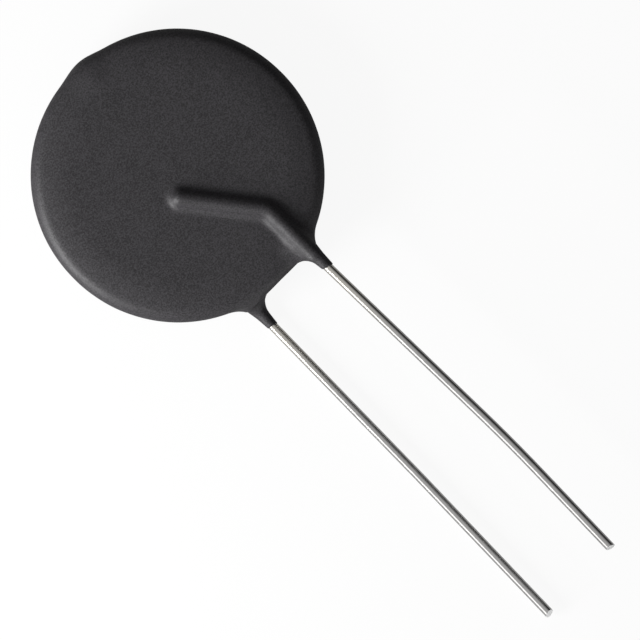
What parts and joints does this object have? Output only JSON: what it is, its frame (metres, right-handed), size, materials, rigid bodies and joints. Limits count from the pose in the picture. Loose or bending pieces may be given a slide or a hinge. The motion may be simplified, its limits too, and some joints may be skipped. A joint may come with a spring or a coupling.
{
  "type": "ntc thermistor",
  "caption": "Disc thermistor of the inrush-limiting kind: matte black dip-coated disc with a ridge over each soldered wire, webbed run-downs and long straight tinned radial leads.",
  "frame": {"origin": "on the surface the part lies on, under the middle of its box", "axes": "+X to the right seen from the front face, +Y up the face away from the leads, +Z out of the front face; the part lies on its back and the leads run towards -Y"},
  "size_m": [0.031, 0.077, 0.007],
  "materials": {
    "black_coat": "satin-matte dip coat with a fine grain",
    "oxide_ceramic": "sintered, matte",
    "fired_silver": "matte fired silver",
    "tinned_wire": "bright hot-dipped tin with fine drawn lines",
    "solder": "dull solder"
  },
  "bodies": {
    "root": {"ceramic_disc": "oxide_ceramic", "front_electrode": "fired_silver", "rear_electrode": "fired_silver", "front_lead": "tinned_wire", "rear_lead": "tinned_wire", "front_solder": "solder", "rear_solder": "solder", "coating": "black_coat"}
  },
  "joints": []
}
